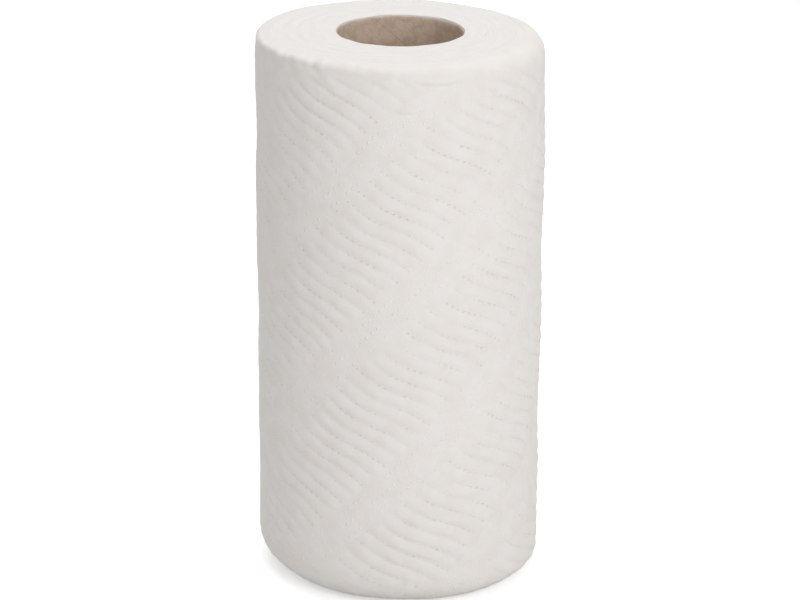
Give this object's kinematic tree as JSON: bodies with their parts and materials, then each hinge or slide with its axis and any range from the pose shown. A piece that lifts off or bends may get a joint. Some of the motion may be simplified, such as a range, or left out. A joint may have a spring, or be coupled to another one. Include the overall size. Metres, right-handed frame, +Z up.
{
  "type": "paper towel roll",
  "caption": "Upright roll of embossed white paper towel wound on an open cardboard core, with soft rounded rims, a loose tail edge and a perforation line down the back.",
  "frame": {"origin": "centre of the bottom end, on the surface that the roll stands on", "axes": "+Z runs up the roll's axis, -Y points at the side that the picture shows, +X is to the right in the picture"},
  "size_m": [0.113, 0.1127, 0.22],
  "materials": {
    "paper": "soft matt two-ply tissue",
    "cardboard": "matt grey-brown board"
  },
  "bodies": {
    "root": {"towel_web": "paper", "core_tube": "cardboard"}
  },
  "joints": []
}
